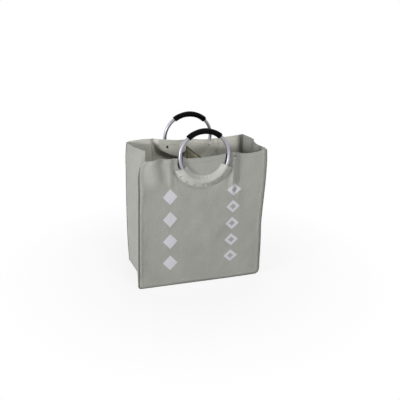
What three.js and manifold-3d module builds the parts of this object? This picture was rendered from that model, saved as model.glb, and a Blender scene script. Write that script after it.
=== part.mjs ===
// Laundry hamper with two bins: a stiff cloth bag parted by a divider, with a round
// handle through a sewn tunnel on each long side. The side gussets crease inwards, so
// the bag folds flat. Millimetres: X along the long side, Y from front to back, Z up.
// The origin lies on the floor under the middle of the bag.
import * as THREE from "three";
import { mergeVertices } from "three/addons/utils/BufferGeometryUtils.js";
import Module from "manifold-3d";

// Bag, measured over the piping
const BAG_WIDTH = 450;
const BAG_DEPTH = 220;
const BAG_HEIGHT = 480;
const CREASE_ANGLE = THREE.MathUtils.degToRad(8); // how far each gusset half leans inwards

// Cloth and seams
const PANEL_THICKNESS = 1.5;
const GUSSET_THICKNESS = 1.2;
const BOTTOM_THICKNESS = 1.5;
const DIVIDER_THICKNESS = 1.2;
const PATCH_THICKNESS = 1.2;
const PIPING_DIAMETER = 5;
const CORNER_RADIUS = 17; // lower corners of a panel, along the piping's middle
const HEM_WIDTH = 18;
const HEM_RAISE = 1; // extra thickness where the rim is folded over
const SEAM_GAP = 0.3; // between pieces that touch

// Divider: its top edge rises towards the front
const DIVIDER_DROP_BACK = 30; // below the rim
const DIVIDER_DROP_FRONT = 14;
const BINDING_HEIGHT = 8;
const BINDING_THICKNESS = 0.8;
const BINDING_INSET = 1.2; // at each end

// Handle: an aluminium ring with a foam grip
const RING_RADIUS = 86.5; // to the middle of the tube
const TUBE_DIAMETER = 12;
const TUBE_WALL = 1.2;
const RING_LEAN = THREE.MathUtils.degToRad(5); // the top leans over the bag
const RING_END_GAP = 0.6; // where the two ends of the tube meet, under the grip
const GRIP_DIAMETER = 19.5;
const GRIP_HALF_ANGLE = THREE.MathUtils.degToRad(41);
const GRIP_CLEARANCE = 0.5;
const JOINER_LENGTH = 30;
const JOINER_CLEARANCE = 0.4;

// Tunnel: the patch is stretched over the ring below the two mouths
const MOUTH_ANGLE = THREE.MathUtils.degToRad(25); // below the ring's middle
const SLOT_WIDTH = 20; // in the panel, where the ring passes through it
const SLOT_OVERRUN_ANGLE = THREE.MathUtils.degToRad(12); // of the cut, past the rim
const PATCH_SEAM_OUTSIDE = 24; // seam line to the middle of the tube
const PATCH_SEAM_INSIDE = 17;
const PATCH_ALLOWANCE = 3; // flat cloth past a seam
const TUNNEL_CLEARANCE = 0.8;
const CUT_OVERRUN = 5;

// The two long sides differ a little in how their handles were sewn on, and the back grip
// sits a little way round its ring.
const GRIP_TURN = THREE.MathUtils.degToRad(3.5);
const SIDES = [
  {
    name: "front", turn: 0, left: "left", right: "right", ringX: -0.5, ringRise: -2, gripTurn: 0,
  },
  {
    name: "back", turn: Math.PI, left: "right", right: "left", ringX: -7.5, ringRise: 2,
    gripTurn: GRIP_TURN,
  },
];

// Steps round the curves
const TUBE_SIDES = 14;
const RING_STEPS = 52;
const GRIP_STEPS = 13;
const JOINER_STEPS = 4;
const CORNER_STEPS = 5;
const SLOT_STEPS = 6;
const TUNNEL_STEPS = 26;
const TUNNEL_WRAP_STEPS = 6;

// Where the seams run
const PIPING_RADIUS = PIPING_DIAMETER / 2;
const SEAM_X = BAG_WIDTH / 2 - PIPING_RADIUS;
const SEAM_Y = BAG_DEPTH / 2 - PIPING_RADIUS;
const CORNER_TOP = PIPING_RADIUS + CORNER_RADIUS;
const CLOTH_START = PIPING_RADIUS + SEAM_GAP; // cloth begins this far from a seam's axis
const CREASE_LENGTH = SEAM_Y / Math.cos(CREASE_ANGLE); // seam to crease, along the gusset

const material = (color, roughness, metalness = 0) =>
  new THREE.MeshStandardMaterial({ color, roughness, metalness });
const greyCloth = () => material(0xa9aaa2, 0.75);
const darkCord = () => material(0x6e706a, 0.7);

const wasm = await Module();
wasm.setup();

function solidOf(geometry) {
  const bare = geometry.clone();
  bare.deleteAttribute("normal");
  bare.deleteAttribute("uv");
  const merged = mergeVertices(bare);
  return new wasm.Manifold(
    new wasm.Mesh({
      numProp: 3,
      vertProperties: new Float32Array(merged.attributes.position.array),
      triVerts: new Uint32Array(merged.index.array),
    }),
  );
}

function geometryOf(solid) {
  const { vertProperties, triVerts } = solid.getMesh();
  const geometry = new THREE.BufferGeometry();
  geometry.setAttribute("position", new THREE.BufferAttribute(vertProperties, 3));
  geometry.setIndex(new THREE.BufferAttribute(triVerts, 1));
  geometry.computeVertexNormals();
  return geometry;
}

function named(name, geometry, finish) {
  const mesh = new THREE.Mesh(geometry, finish);
  mesh.name = name;
  return mesh;
}

// A flat sheet: an outline drawn in X and Z, with its thickness from Y = 0 backwards.
function sheet(outline, thickness, curveSegments = CORNER_STEPS) {
  const geometry = new THREE.ExtrudeGeometry(outline, {
    depth: thickness,
    bevelEnabled: false,
    curveSegments,
  });
  return geometry.rotateX(Math.PI / 2).translate(0, thickness, 0);
}

// A closed solid through outlines that all have the same number of points. outlineAt
// gives the 2D outline of a step, counter-clockwise, and place puts its points in space.
function loft(steps, outlineAt, place) {
  const outlines = Array.from({ length: steps + 1 }, (_, i) => outlineAt(i));
  const count = outlines[0].length;
  const positions = outlines.flatMap((outline, i) =>
    outline.flatMap((point) => place(i, point).toArray()),
  );
  const faces = [];
  for (let i = 0; i < steps; i++) {
    for (let j = 0; j < count; j++) {
      const a = i * count + j;
      const b = i * count + ((j + 1) % count);
      faces.push(a, b, b + count, a, b + count, a + count);
    }
  }
  const last = steps * count;
  for (const [a, b, c] of THREE.ShapeUtils.triangulateShape(outlines[0], [])) {
    faces.push(c, b, a);
  }
  for (const [a, b, c] of THREE.ShapeUtils.triangulateShape(outlines[steps], [])) {
    faces.push(last + a, last + b, last + c);
  }
  const geometry = new THREE.BufferGeometry();
  geometry.setAttribute("position", new THREE.Float32BufferAttribute(positions, 3));
  geometry.setIndex(faces);
  geometry.computeVertexNormals();
  return geometry;
}

// An arc of the ring: in the X-Z plane, round the origin.
class RingArc extends THREE.Curve {
  constructor(from, to) {
    super();
    this.from = from;
    this.to = to;
  }
  getPoint(t, target = new THREE.Vector3()) {
    const angle = THREE.MathUtils.lerp(this.from, this.to, t);
    return target.set(RING_RADIUS * Math.cos(angle), 0, RING_RADIUS * Math.sin(angle));
  }
}

function roundBar(from, to, steps, radius, boreRadius = 0) {
  const section = new THREE.Shape().absarc(0, 0, radius, 0, 2 * Math.PI);
  if (boreRadius > 0) {
    section.holes.push(new THREE.Path().absarc(0, 0, boreRadius, 0, 2 * Math.PI, true));
  }
  // A full circle gets two sides for each curve segment.
  return new THREE.ExtrudeGeometry(section, {
    steps,
    curveSegments: TUBE_SIDES / 2,
    extrudePath: new RingArc(from, to),
  });
}

// Ring, joiner and grip share the ring's own frame: its middle, with the grip on top.
function handle(side) {
  const top = Math.PI / 2;
  const tubeRadius = TUBE_DIAMETER / 2;
  const boreRadius = tubeRadius - TUBE_WALL;
  const endAngle = RING_END_GAP / 2 / RING_RADIUS;
  const joinerAngle = JOINER_LENGTH / 2 / RING_RADIUS;
  const group = new THREE.Group();
  group.add(
    named(
      `${side.name}_ring`,
      roundBar(top + endAngle, top + 2 * Math.PI - endAngle, RING_STEPS, tubeRadius, boreRadius),
      material(0xd3d3d9, 0.35, 1),
    ),
    named(
      `${side.name}_ring_joiner`,
      roundBar(top - joinerAngle, top + joinerAngle, JOINER_STEPS, boreRadius - JOINER_CLEARANCE),
      material(0xb8b8bc, 0.5, 1),
    ),
    named(
      `${side.name}_grip`,
      roundBar(
        top + side.gripTurn - GRIP_HALF_ANGLE,
        top + side.gripTurn + GRIP_HALF_ANGLE,
        GRIP_STEPS,
        GRIP_DIAMETER / 2,
        tubeRadius + GRIP_CLEARANCE,
      ),
      material(0x121214, 0.6),
    ),
  );
  return group;
}

// How far in front of the panel the middle of the ring lies: there the tube just clears
// the cloth. The slots let the ring tip over the bag when both handles are held together.
const RING_STANDOFF = TUBE_DIAMETER / 2 + SEAM_GAP;

// One curved slot, right of the ring's middle, with a round end at the mouth.
function slotCut() {
  const half = SLOT_WIDTH / 2;
  const end = MOUTH_ANGLE - half / RING_RADIUS;
  const outline = new THREE.Shape();
  outline.absarc(0, 0, RING_RADIUS + half, SLOT_OVERRUN_ANGLE, -end, true);
  outline.absarc(
    RING_RADIUS * Math.cos(end),
    -RING_RADIUS * Math.sin(end),
    half,
    -end,
    -end - Math.PI,
    true,
  );
  outline.absarc(0, 0, RING_RADIUS - half, -end, SLOT_OVERRUN_ANGLE, false);
  const depth = PANEL_THICKNESS + HEM_RAISE + 2 * CUT_OVERRUN;
  return sheet(outline, depth, SLOT_STEPS).translate(0, -depth / 2, 0);
}

// A big panel, its outer face at Y = 0: rounded lower corners, a hem, and two slots.
function panel(ringX, ringZ) {
  const x = SEAM_X - CLOTH_START;
  const bottom = PIPING_RADIUS + CLOTH_START;
  const radius = CORNER_RADIUS - CLOTH_START;
  const outline = new THREE.Shape();
  outline.moveTo(x, BAG_HEIGHT);
  outline.lineTo(-x, BAG_HEIGHT);
  outline.absarc(radius - x, bottom + radius, radius, Math.PI, 1.5 * Math.PI);
  outline.absarc(x - radius, bottom + radius, radius, 1.5 * Math.PI, 2 * Math.PI);
  const hem = new THREE.Shape();
  hem.moveTo(x, BAG_HEIGHT);
  hem.lineTo(-x, BAG_HEIGHT);
  hem.lineTo(-x, BAG_HEIGHT - HEM_WIDTH);
  hem.lineTo(x, BAG_HEIGHT - HEM_WIDTH);
  let solid = solidOf(sheet(outline, PANEL_THICKNESS));
  solid = solid.add(solidOf(sheet(hem, PANEL_THICKNESS + HEM_RAISE).translate(0, -HEM_RAISE, 0)));
  const slot = slotCut();
  for (const turn of [0, Math.PI]) {
    solid = solid.subtract(solidOf(slot.clone().rotateZ(turn).translate(ringX, 0, ringZ)));
  }
  return geometryOf(solid);
}

// One face of the stretched cloth across the tube: flat past a seam, straight up to the
// tube, round it, and straight down to the other seam. middle is the height of the
// tube's middle above the panel, and low the height of this face at the seams.
function stretchedFace(middle, radius, low) {
  const tangentAngle = (seam) => {
    const angle = Math.atan2(low - middle, seam);
    const opening = Math.acos(radius / Math.hypot(seam, low - middle));
    return seam > 0 ? angle + opening : angle - opening + 2 * Math.PI;
  };
  const from = tangentAngle(-PATCH_SEAM_INSIDE);
  const to = tangentAngle(PATCH_SEAM_OUTSIDE);
  const points = [
    new THREE.Vector2(-PATCH_SEAM_INSIDE - PATCH_ALLOWANCE, low),
    new THREE.Vector2(-PATCH_SEAM_INSIDE, low),
  ];
  for (let i = 0; i <= TUNNEL_WRAP_STEPS; i++) {
    const angle = THREE.MathUtils.lerp(from, to, i / TUNNEL_WRAP_STEPS);
    points.push(
      new THREE.Vector2(radius * Math.cos(angle), middle + radius * Math.sin(angle)),
    );
  }
  points.push(
    new THREE.Vector2(PATCH_SEAM_OUTSIDE, low),
    new THREE.Vector2(PATCH_SEAM_OUTSIDE + PATCH_ALLOWANCE, low),
  );
  return points;
}

// The half-moon patch, round the ring's middle and with the panel's outer face at Y = 0.
function handlePatch() {
  const angleAt = (i) =>
    THREE.MathUtils.lerp(2 * Math.PI - MOUTH_ANGLE, Math.PI + MOUTH_ANGLE, i / TUNNEL_STEPS);
  const outlineAt = (i) => {
    const drop = -Math.sin(angleAt(i)) * RING_RADIUS;
    const middle = RING_STANDOFF + drop * Math.sin(RING_LEAN);
    const radius = TUBE_DIAMETER / 2 + TUNNEL_CLEARANCE;
    const under = stretchedFace(middle, radius, SEAM_GAP);
    const over = stretchedFace(middle, radius + PATCH_THICKNESS, SEAM_GAP + PATCH_THICKNESS);
    return [...under, ...over.reverse()];
  };
  const place = (i, { x: across, y: height }) => {
    const angle = angleAt(i);
    const radius = RING_RADIUS + across;
    return new THREE.Vector3(radius * Math.cos(angle), -height, radius * Math.sin(angle));
  };
  return loft(TUNNEL_STEPS, outlineAt, place);
}

// The cord in a panel's seam, down one side, along the bottom and up the other side. Its
// section is an octagon, made by bevelling a U-shaped band.
function piping() {
  const flat = PIPING_DIAMETER * Math.tan(Math.PI / 8);
  const bevel = (PIPING_DIAMETER - flat) / 2;
  const half = flat / 2;
  const top = BAG_HEIGHT - bevel;
  const cornerX = SEAM_X - CORNER_RADIUS;
  const band = new THREE.Shape();
  band.moveTo(-SEAM_X - half, top);
  band.lineTo(-SEAM_X - half, CORNER_TOP);
  band.absarc(-cornerX, CORNER_TOP, CORNER_RADIUS + half, Math.PI, 1.5 * Math.PI);
  band.absarc(cornerX, CORNER_TOP, CORNER_RADIUS + half, 1.5 * Math.PI, 2 * Math.PI);
  band.lineTo(SEAM_X + half, top);
  band.lineTo(SEAM_X - half, top);
  band.absarc(cornerX, CORNER_TOP, CORNER_RADIUS - half, 2 * Math.PI, 1.5 * Math.PI, true);
  band.absarc(-cornerX, CORNER_TOP, CORNER_RADIUS - half, 1.5 * Math.PI, Math.PI, true);
  band.lineTo(-SEAM_X + half, top);
  const geometry = new THREE.ExtrudeGeometry(band, {
    depth: flat,
    bevelThickness: bevel,
    bevelSize: bevel,
    bevelSegments: 1,
    curveSegments: CORNER_STEPS,
  });
  return geometry.rotateX(Math.PI / 2).translate(0, half, 0);
}

// Half a gusset, from its seam to the crease. inward is the side of its outer face on
// which the cloth lies.
function gussetHalf(name, inward) {
  const length = CREASE_LENGTH - CLOTH_START - SEAM_GAP / 2;
  const low = CORNER_TOP + SEAM_GAP;
  const height = BAG_HEIGHT - low;
  const geometry = new THREE.BoxGeometry(length, GUSSET_THICKNESS, height);
  geometry.translate(
    CLOTH_START + length / 2,
    (inward * GUSSET_THICKNESS) / 2,
    low + height / 2,
  );
  return named(name, geometry, greyCloth());
}

// Everything sewn to one long side. The back is the front turned about Z.
function longSide(side) {
  const group = new THREE.Group();
  const ringZ = BAG_HEIGHT + side.ringRise;
  const outerFace = -BAG_DEPTH / 2;

  const cloth = named(`${side.name}_panel`, panel(side.ringX, ringZ), greyCloth());
  cloth.position.y = outerFace;
  const patch = named(`${side.name}_handle_patch`, handlePatch(), greyCloth());
  patch.position.set(side.ringX, outerFace, ringZ);
  const cord = named(`${side.name}_piping`, piping(), darkCord());
  cord.position.y = -SEAM_Y;

  const ring = handle(side);
  ring.position.set(side.ringX, outerFace - RING_STANDOFF, ringZ);
  ring.rotation.x = -RING_LEAN;

  const left = gussetHalf(`${side.left}_gusset_${side.name}`, -1);
  left.position.set(-SEAM_X, -SEAM_Y, 0);
  left.rotation.z = Math.PI / 2 - CREASE_ANGLE;
  const right = gussetHalf(`${side.right}_gusset_${side.name}`, 1);
  right.position.set(SEAM_X, -SEAM_Y, 0);
  right.rotation.z = Math.PI / 2 + CREASE_ANGLE;

  group.add(cloth, patch, cord, ring, left, right);
  group.rotation.z = side.turn;
  return group;
}

// The boxing strip along the floor. Both ends curl up to the gussets and are drawn in
// towards the crease as they are.
function bottomPanel() {
  const depth = SEAM_Y - CLOTH_START;
  const along = [depth, 0, -depth];
  const outlineAt = (i) => {
    const reach = SEAM_X - (SEAM_Y - Math.abs(along[i])) * Math.tan(CREASE_ANGLE);
    const centre = reach - CORNER_TOP;
    const inner = CORNER_TOP - BOTTOM_THICKNESS;
    const outline = new THREE.Path();
    outline.absarc(-centre, CORNER_TOP, CORNER_TOP, Math.PI, 1.5 * Math.PI);
    outline.absarc(centre, CORNER_TOP, CORNER_TOP, 1.5 * Math.PI, 2 * Math.PI);
    outline.absarc(centre, CORNER_TOP, inner, 2 * Math.PI, 1.5 * Math.PI, true);
    outline.absarc(-centre, CORNER_TOP, inner, 1.5 * Math.PI, Math.PI, true);
    return outline.getPoints(CORNER_STEPS);
  };
  const place = (i, { x, y: z }) => new THREE.Vector3(x, along[i], z);
  return named("bottom_panel", loft(along.length - 1, outlineAt, place), greyCloth());
}

// The wall between the bins, and the tape folded over its top edge. Its lower corners
// are stepped over the piping.
function divider() {
  const reach = BAG_DEPTH / 2 - PANEL_THICKNESS - SEAM_GAP;
  const inside = SEAM_Y - CLOTH_START;
  const low = BOTTOM_THICKNESS + SEAM_GAP;
  const step = PIPING_DIAMETER + SEAM_GAP;
  const front = BAG_HEIGHT - DIVIDER_DROP_FRONT;
  const back = BAG_HEIGHT - DIVIDER_DROP_BACK;
  const outline = new THREE.Shape();
  outline.moveTo(-reach, step);
  outline.lineTo(-inside, step);
  outline.lineTo(-inside, low);
  outline.lineTo(inside, low);
  outline.lineTo(inside, step);
  outline.lineTo(reach, step);
  outline.lineTo(reach, back);
  outline.lineTo(-reach, front);
  const wall = named("divider", sheet(outline, DIVIDER_THICKNESS), material(0x878464, 0.8));
  wall.rotation.z = Math.PI / 2;
  wall.position.x = DIVIDER_THICKNESS / 2;

  const inner = DIVIDER_THICKNESS / 2 + SEAM_GAP;
  const outer = inner + BINDING_THICKNESS;
  const channel = new THREE.Shape();
  channel.moveTo(outer, SEAM_GAP + BINDING_THICKNESS);
  channel.lineTo(-outer, SEAM_GAP + BINDING_THICKNESS);
  channel.lineTo(-outer, -BINDING_HEIGHT);
  channel.lineTo(-inner, -BINDING_HEIGHT);
  channel.lineTo(-inner, SEAM_GAP);
  channel.lineTo(inner, SEAM_GAP);
  channel.lineTo(inner, -BINDING_HEIGHT);
  channel.lineTo(outer, -BINDING_HEIGHT);
  const length = Math.hypot(2 * reach, front - back) - 2 * BINDING_INSET;
  const tape = sheet(channel, length).translate(0, -length / 2, 0);
  const binding = named("divider_binding", tape, material(0x4b4a3a, 0.7));
  binding.position.z = (front + back) / 2;
  binding.rotation.x = -Math.atan2(front - back, 2 * reach);
  return [wall, binding];
}

const hamper = new THREE.Group();
hamper.add(bottomPanel(), ...divider(), ...SIDES.map(longSide));

export default hamper;
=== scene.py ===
import math

import bpy
import numpy as np
from mathutils import Matrix


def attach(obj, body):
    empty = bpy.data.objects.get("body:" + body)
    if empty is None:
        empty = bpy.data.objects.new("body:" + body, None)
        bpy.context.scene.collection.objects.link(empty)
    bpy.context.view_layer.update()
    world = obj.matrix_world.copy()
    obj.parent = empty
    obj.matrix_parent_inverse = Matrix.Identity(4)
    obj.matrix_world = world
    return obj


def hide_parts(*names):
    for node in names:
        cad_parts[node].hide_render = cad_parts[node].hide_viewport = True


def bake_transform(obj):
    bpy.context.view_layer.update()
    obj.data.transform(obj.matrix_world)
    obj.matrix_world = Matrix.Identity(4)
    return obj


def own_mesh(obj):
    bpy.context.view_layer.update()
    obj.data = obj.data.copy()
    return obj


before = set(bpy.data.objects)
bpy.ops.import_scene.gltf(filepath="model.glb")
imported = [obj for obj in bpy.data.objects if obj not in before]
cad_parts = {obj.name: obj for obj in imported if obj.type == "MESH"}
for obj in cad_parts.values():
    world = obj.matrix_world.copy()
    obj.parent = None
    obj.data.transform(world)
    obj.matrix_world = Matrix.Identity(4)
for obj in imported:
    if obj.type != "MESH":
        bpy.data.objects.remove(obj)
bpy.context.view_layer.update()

# The photographer's view, slightly from the left and above. The camera's axes are its own
# right, its own up and the direction back towards the photographer.
VIEW_TURN = math.radians(-17.53)
VIEW_TILT = math.radians(21.43)
VIEW_ROLL = math.radians(1.01)
VIEW_DISTANCE = 2.484
LOOKED_AT = np.array([0.0224, 0.0, 0.2737])

backwards = np.array([
    math.sin(VIEW_TURN) * math.cos(VIEW_TILT),
    -math.cos(VIEW_TURN) * math.cos(VIEW_TILT),
    math.sin(VIEW_TILT),
])
level_right = np.array([math.cos(VIEW_TURN), math.sin(VIEW_TURN), 0.0])
level_up = np.cross(backwards, level_right)


def turned_to(right, up, back, where):
    """The placing of a camera or lamp from its own three axes and its place."""
    placing = np.eye(4)
    placing[:3] = np.stack([right, up, back, where], 1)
    return Matrix(placing.tolist())


camera = bpy.data.objects.new("camera", bpy.data.cameras.new("camera"))
camera.data.sensor_width = 36.0
camera.data.lens = 61.38
camera.data.clip_end = 30.0
camera.matrix_world = turned_to(
    math.cos(VIEW_ROLL) * level_right + math.sin(VIEW_ROLL) * level_up,
    math.cos(VIEW_ROLL) * level_up - math.sin(VIEW_ROLL) * level_right,
    backwards, LOOKED_AT + backwards * VIEW_DISTANCE)
bpy.context.collection.objects.link(camera)
bpy.context.scene.camera = camera


# The studio: a white floor that keeps the hamper's shadow, a white room, a strong lamp low on the
# left, soft ones high in front and behind, and a weak one near on the right.
scene = bpy.context.scene
scene.view_settings.view_transform = "Standard"

WHITE = (1.0, 1.0, 1.0, 1.0)
FLOOR_WHITE = (0.86, 0.86, 0.86, 1.0)
FLOOR_REACH = 9.0
FLOOR_GLOW = (0.84, 1.0)  # share of plain white that the camera sees: beside the hamper, far off
GLOW_REACH = (0.25, 0.75)  # metres from the middle, between which the share grows
ROOM_LEVEL = 0.08
LAMP_TARGET = np.array((0.0, 0.0, 0.28))


def shader_tree(owner):
    """Empties the node tree of a material or world and returns a helper that adds a node. Each of
    the node's inputs gets the value given, or a link where that is another node's socket."""
    owner.use_nodes = True
    tree = owner.node_tree
    tree.nodes.clear()

    def node(kind, inputs=(), **settings):
        made = tree.nodes.new(kind)
        for key, value in settings.items():
            setattr(made, key, value)
        for socket, value in dict(inputs).items():
            if isinstance(value, bpy.types.NodeSocket):
                tree.links.new(value, made.inputs[socket])
            else:
                made.inputs[socket].default_value = value
        return made

    return node


def seen_rays(node):
    """1 for rays from the camera, a mirror or a lens, 0 for rays of light."""
    path = node("ShaderNodeLightPath")
    both = node("ShaderNodeMath", {0: path.outputs["Is Camera Ray"], 1: path.outputs["Is Glossy Ray"]},
                operation="MAXIMUM")
    return node("ShaderNodeMath", {0: both.outputs[0], 1: path.outputs["Is Transmission Ray"]},
                operation="MAXIMUM").outputs[0]


room = bpy.data.worlds.new("room")
node = shader_tree(room)
plain = node("ShaderNodeBackground", {"Color": WHITE, "Strength": ROOM_LEVEL})
white = node("ShaderNodeBackground", {"Color": WHITE, "Strength": 1.0})
mixed = node("ShaderNodeMixShader", {0: seen_rays(node), 1: plain.outputs[0], 2: white.outputs[0]})
node("ShaderNodeOutputWorld", {"Surface": mixed.outputs[0]})
scene.world = room

floor_finish = bpy.data.materials.new("floor_white")
node = shader_tree(floor_finish)
matt = node("ShaderNodeBsdfDiffuse", {"Color": FLOOR_WHITE, "Roughness": 0.4})
glow = node("ShaderNodeEmission", {"Color": WHITE, "Strength": 1.0})
place = node("ShaderNodeTexCoord").outputs["Object"]
off_middle = node("ShaderNodeVectorMath", {0: place}, operation="LENGTH")
grown = node("ShaderNodeMapRange", {
    "Value": off_middle.outputs["Value"], "From Min": GLOW_REACH[0], "From Max": GLOW_REACH[1],
    "To Min": FLOOR_GLOW[0], "To Max": FLOOR_GLOW[1],
})
share = node("ShaderNodeMath", {0: seen_rays(node), 1: grown.outputs[0]}, operation="MULTIPLY")
mixed = node("ShaderNodeMixShader", {0: share.outputs[0], 1: matt.outputs[0], 2: glow.outputs[0]})
node("ShaderNodeOutputMaterial", {"Surface": mixed.outputs[0]})

floor_mesh = bpy.data.meshes.new("floor")
floor_corners = [(x * FLOOR_REACH, y * FLOOR_REACH, 0.0) for x, y in ((-1, -1), (1, -1), (1, 1), (-1, 1))]
floor_mesh.from_pydata(floor_corners, [], [(0, 1, 2, 3)])
floor_mesh.materials.append(floor_finish)
floor = bpy.data.objects.new("floor", floor_mesh)
bpy.context.collection.objects.link(floor)


def soft_lamp(name, turn, rise, power, distance=3.0, size=1.0):
    """A square area lamp that faces the middle of the hamper, turned that many degrees from the
    front to the right, and as many above the floor."""
    lamp = bpy.data.objects.new(name, bpy.data.lights.new(name, "AREA"))
    lamp.data.shape = "SQUARE"
    lamp.data.size = size
    lamp.data.energy = power
    turn, rise = math.radians(turn), math.radians(rise)
    away = np.array([math.sin(turn) * math.cos(rise), -math.cos(turn) * math.cos(rise), math.sin(rise)])
    across = np.cross((0.0, 0.0, 1.0), away)
    across /= np.linalg.norm(across)
    lamp.matrix_world = turned_to(across, np.cross(away, across), away, LAMP_TARGET + away * distance)
    bpy.context.collection.objects.link(lamp)


soft_lamp("left_lamp", -66.0, 8.5, 54.0, size=0.5)
soft_lamp("high_lamp", 6.0, 50.0, 25.0)
soft_lamp("right_lamp", 40.0, 48.0, 2.6, distance=1.5, size=0.8)
soft_lamp("back_lamp", 150.0, 45.0, 26.0, size=2.0)


# Front and back panel: stiff grey coated cloth, one piece each, with rounded lower corners, the
# rim folded over and stitched as a hem, and openings behind the ring's two legs. The light cloth
# leans out of its straight lines: every piece sewn to a side follows these outlines.
BAG_HEIGHT = 480.0
SEAM_X = 222.5  # middle of the piping, from the middle of the bag
SEAM_Y = 107.5
PANEL_FACE = 110.0  # outer face of a panel
PANEL_THICKNESS = 1.5
PIPING_RADIUS = 2.5
CLOTH_START = 2.3  # cloth begins this far from the middle of the piping
CLOTH_LOW = PIPING_RADIUS + CLOTH_START
HEM_WIDTH = 18.0
HEM_LINE = BAG_HEIGHT - HEM_WIDTH
HEM_RAISE = 0.9
HEM_THICKER = HEM_RAISE * 1.4
RING_RADIUS = 86.5
SLOT_END = math.radians(18.4)  # below the ring's middle
RING_SLOPE = 0.083  # how fast a panel stands out below the ring's middle, as the ring leans
PATCH_GROOVE = 114.5  # from the ring's middle
SLANT_HEIGHT = 420.0  # where a slanting bulge keeps its place
RIM_FADE = (452.0, 476.0)  # heights between which a bulge fades to its share at the rim
LIP_ENDS = ((-126.0, -102.0), (10.0, -10.0))  # where the lip grows from nothing, left and right

# Each side of the bag: which way it faces, where its ring's middle is, its corner radii
# (left, right), and its outline: left edge and right edge by height, rim by distance from the
# middle, all in millimetres as they are on the hamper, measured at the outside of the piping.
FRONT = {
    "name": "front", "facing": -1.0, "ring": (-0.5, 478.0), "corners": (9.0, 17.0),
    "left": [(0, -235.0), (60, -235.0), (154, -233.6), (267, -232.0), (358, -230.0), (411, -228.0),
             (439, -225.5), (457, -222.0), (469, -215.0), (480, -206.0)],
    "right": [(0, 222.5), (60, 224.0), (120, 224.8), (209, 222.2), (290, 225.2), (366, 228.6),
              (441, 229.7), (480, 227.7)],
    "rim": [(-225, 473.4), (-199, 474.4), (-181, 478.4), (-165, 478.4), (-137, 476.4), (-102, 476.0),
            (-77, 473.8), (-37, 471.9), (13, 472.9), (45, 475.6), (77, 479.5), (97, 483.4), (112, 482.0),
            (128, 477.4), (150, 473.8), (170, 474.8), (191, 478.2), (208, 483.0), (225, 485.4)],
    "floor": [(-225, -0.5), (-150, 0.0), (150, 0.6), (225, 2.0)],
}
BACK = {
    "name": "back", "facing": 1.0, "ring": (7.5, 482.0), "corners": (15.0, 17.0),
    "left": [(0, -223.5), (28, -224.0), (75, -226.5), (137, -228.0), (375, -228.0), (443, -227.0),
             (480, -223.0)],
    "right": [(0, 222.5), (100, 224.5), (350, 225.5), (480, 224.0)],
    "rim": [(-225, 478.0), (-213, 481.3), (-187, 484.0), (-151, 486.0), (-129, 485.0), (-88, 480.3),
            (-43, 474.4), (14, 470.0), (53, 467.9), (84, 469.0), (150, 472.5), (190, 476.8), (225, 478.5)],
    "floor": [(-225, 0.5), (225, 0.5)],
}


def through(knots, at):
    """Smooth curve through knots (place, value): on each stretch the cubic whose slopes at both
    ends are the knots' own differences. Past the ends it keeps the last value."""
    place, value = np.array(knots, float).T
    slope = np.gradient(value, place)
    i = np.clip(np.searchsorted(place, at) - 1, 0, len(place) - 2)
    run = place[i + 1] - place[i]
    t = np.clip((at - place[i]) / run, 0.0, 1.0)
    return ((2 * t**3 - 3 * t**2 + 1) * value[i] + (t**3 - 2 * t**2 + t) * run * slope[i]
            + (3 * t**2 - 2 * t**3) * value[i + 1] + (t**3 - t**2) * run * slope[i + 1])


def soft_step(start, end, at):
    """0 before start, 1 after end, and 3t^2 - 2t^3 between them."""
    t = np.clip((at - start) / (end - start), 0.0, 1.0)
    return t * t * (3.0 - 2.0 * t)


def fitted(side, x, z):
    """Carries a point of the straight pattern to the side's real outline: the edges' shift fades
    with the square of the distance from them, and the rim's with the sixth power."""
    left = through(side["left"], z) + PIPING_RADIUS + SEAM_X
    right = through(side["right"], z) - PIPING_RADIUS - SEAM_X
    out = x / SEAM_X
    rise = through(side["rim"], x) - BAG_HEIGHT
    sink = through(side["floor"], x)
    up = np.clip(z / BAG_HEIGHT, 0.0, 1.1)
    shifted = x + left * np.clip(-out, 0.0, None) ** 2 + right * np.clip(out, 0.0, None) ** 2
    return shifted, z + rise * up**6 + sink * np.clip(1.0 - up, 0.0, 1.0) ** 4


def ripples(x, z, seed, length, count=7):
    """Sum of sine waves with random headings and about one wavelength, about 1 high."""
    draw = np.random.default_rng(seed)
    total = np.zeros(np.broadcast(x, z).shape)
    for _ in range(count):
        turn, phase = draw.uniform(0, 2 * math.pi), draw.uniform(0, 2 * math.pi)
        stretch = draw.uniform(0.7, 1.4)
        wave = 2 * math.pi / (length * stretch)
        total += np.sin(wave * (math.cos(turn) * x + math.sin(turn) * z) + phase)
    return total / math.sqrt(count)


# Broad bulges, outwards: (place across, how far) knots, the heights between which each grows from
# nothing to its full depth, how much it slants, and the share left at the rim where it fades. The
# seams, piping and gussets follow them.
FRONT["bulges"] = [
    ([(-222.5, -11.0), (-208, -9.2), (-197, -5.0), (-186, 1.0), (-176, 6.0), (-168, 7.7), (-160, 7.8),
      (-150, 5.4), (-142, 2.8), (-134, 1.8), (-124, 2.8), (-112, 4.0), (-104, 3.0), (-96, 0.0)],
     355.0, 425.0, 0.28),
    ([(-222.5, 4.0), (-205, 2.6), (-170, -1.4), (-150, -2.4), (-120, -1.4), (-96, 0.0)], 10.0, 70.0, 0.0),
    ([(88, 0.0), (98, 2.6), (106, 4.6), (113, 3.0), (119, -2.6), (125, -5.4), (133, -3.2), (147, -1.0),
      (162, 0.0)], 325.0, 385.0, 0.0),
    ([(110, 0.0), (130, -1.6), (144, -3.4), (152, -3.6), (162, -2.4), (185, 2.0), (205, 5.4),
      (222.5, 8.0)], 60.0, 430.0, 0.0),
    ([(96, 0.0), (120, 0.6), (140, 1.4), (150, 1.6), (162, 1.2), (185, -0.4), (205, -1.6),
      (222.5, -2.5)], 15.0, 90.0, 0.0),
]
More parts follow.
